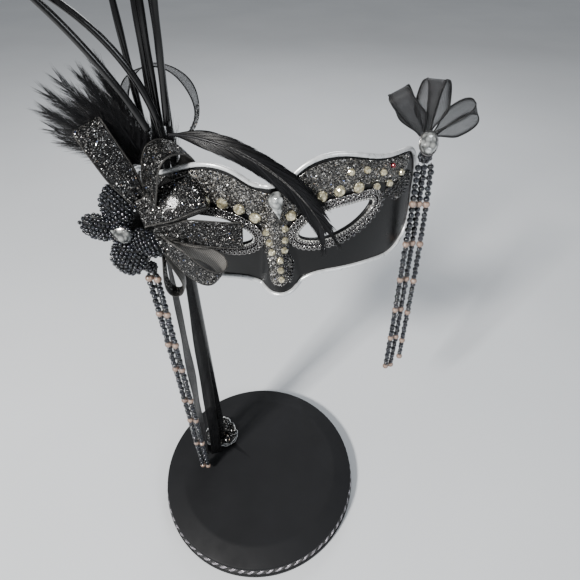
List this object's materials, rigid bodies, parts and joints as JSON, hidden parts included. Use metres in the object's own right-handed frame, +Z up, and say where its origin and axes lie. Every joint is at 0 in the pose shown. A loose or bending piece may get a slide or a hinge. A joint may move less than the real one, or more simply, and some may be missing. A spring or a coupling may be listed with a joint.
{
  "type": "venetian masquerade mask on a stand",
  "caption": "Decorated half mask on a stick that lifts and turns in a round base, with a ribbon rosette, quills, a bow and swinging bead tassels.",
  "frame": {"origin": "centre of the base's underside, on the surface it stands on", "axes": "+Z up; the mask looks along -Y; +X is towards the mask's bow and right tassel as seen from in front"},
  "size_m": [0.271, 0.206, 0.5944],
  "materials": {
    "base_black": "matt black paint on a turned board",
    "rope_trim": "twisted black and grey cord",
    "felt": "black felt",
    "foot_ribbon": "black ribbon with silver glitter",
    "stick_black": "satin black lacquer",
    "leather_patch": "thin black leather",
    "mask_black": "satin black paint over the moulded shell",
    "silver_cord": "bright silver cord",
    "ball_chain": "fine silver ball chain",
    "gimp_chain": "gunmetal chain",
    "glitter": "silver and black glitter in clear glue",
    "black_beads": "tiny gloss black beads",
    "crystal": "faceted champagne crystal, foil back",
    "crystal_red": "faceted red crystal",
    "core_wire": "black thread binding",
    "setting_metal": "dark metal",
    "glitter_ribbon": "stiff metallic ribbon, black with silver glitter, grey mesh inside",
    "seed_beads": "gunmetal navy beads with blush pearls",
    "quill_black": "gloss black stripped quill",
    "feather": "black cock feather",
    "organza": "sheer black organza with wired edges"
  },
  "bodies": {
    "base": {"base_plaque": "base_black", "base_rope_trim": "rope_trim", "base_felt_pad": "felt"},
    "foot_collar": {"foot_ruffle": "foot_ribbon"},
    "right_tassel_head": {"right_tassel_knot": "seed_beads"},
    "right_string_1": {"right_bead_string_1": "seed_beads"},
    "right_string_2": {"right_bead_string_2": "seed_beads"},
    "right_string_3": {"right_bead_string_3": "seed_beads"},
    "left_tassel_head": {"left_tassel_knot": "seed_beads"},
    "left_strings": {"left_bead_string_1": "seed_beads", "left_bead_string_2": "seed_beads", "left_bead_string_3": "seed_beads"},
    "mask_stick": {"bead_field_end": "black_beads", "bead_field_nose": "black_beads", "beaded_petal_bottom": "seed_beads", "beaded_petal_left": "seed_beads", "beaded_petal_right": "seed_beads", "beaded_petal_top": "seed_beads", "bow_crystal": "crystal", "bow_crystal_setting": "setting_metal", "bow_loop_left": "organza", "bow_loop_middle": "organza", "bow_loop_right": "organza", "brow_stones_large": "crystal", "brow_stones_small": "crystal", "drape_feather_long": "feather", "drape_feather_short": "feather", "flower_crystal": "crystal", "flower_crystal_setting": "setting_metal", "forehead_crystal": "crystal", "glitter_coat": "glitter", "hackle_tuft": "feather", "left_eye_inner_trim": "ball_chain", "left_eye_outer_trim": "gimp_chain", "mask_edge_cord": "silver_cord", "mask_shell": "mask_black", "nose_stones": "crystal", "organza_arch": "organza", "quill_1": "quill_black", "quill_2": "quill_black", "quill_3": "quill_black", "quill_4": "quill_black", "quill_5": "quill_black", "quill_6": "quill_black", "quill_7": "quill_black", "red_accent_stone": "crystal_red", "ribbon_loop_bottom": "glitter_ribbon", "ribbon_loop_lower_right": "glitter_ribbon", "ribbon_loop_middle": "glitter_ribbon", "ribbon_loop_right": "glitter_ribbon", "ribbon_loop_top": "glitter_ribbon", "ribbon_loop_upper_left": "glitter_ribbon", "right_eye_inner_trim": "ball_chain", "right_eye_outer_trim": "gimp_chain", "rosette_backing": "felt", "rosette_core": "core_wire", "stick": "stick_black", "stick_mount_patch": "leather_patch", "streamer_1": "organza", "streamer_2": "organza"}
  },
  "joints": [
    {"name": "stick_swivel", "type": "hinge", "parent": "base", "child": "foot_collar", "pos_m": [-0.0455, 0.0356, 0.0224], "axis": [0, 0, 1], "continuous": true},
    {"name": "stick_lift", "type": "slide", "parent": "foot_collar", "child": "mask_stick", "axis": [0, 0, 1], "range_m": [0, 0.06]},
    {"name": "right_tassel_sway", "type": "hinge", "parent": "mask_stick", "child": "right_tassel_head", "pos_m": [0.1205, 0.0375, 0.3695], "axis": [0, -1, 0], "range_deg": [-0.5, 25]},
    {"name": "right_string_1_swing", "type": "hinge", "parent": "right_tassel_head", "child": "right_string_1", "pos_m": [0.1169, 0.037, 0.3635], "axis": [-1, 0, 0], "range_deg": [-0.5, 45]},
    {"name": "right_string_2_swing", "type": "hinge", "parent": "right_tassel_head", "child": "right_string_2", "pos_m": [0.1212, 0.038, 0.3635], "axis": [-1, 0, 0], "range_deg": [-1, 45]},
    {"name": "right_string_3_swing", "type": "hinge", "parent": "right_tassel_head", "child": "right_string_3", "pos_m": [0.1256, 0.038, 0.3635], "axis": [-1, 0, 0], "range_deg": [-1, 45]},
    {"name": "left_tassel_sway", "type": "hinge", "parent": "mask_stick", "child": "left_tassel_head", "pos_m": [-0.0575, -0.004, 0.311], "axis": [0, 1, 0], "range_deg": [-0.5, 20]},
    {"name": "left_tassel_swing", "type": "hinge", "parent": "left_tassel_head", "child": "left_strings", "pos_m": [-0.0575, -0.004, 0.3065], "axis": [-1, 0, 0], "range_deg": [-0.5, 30]}
  ]
}
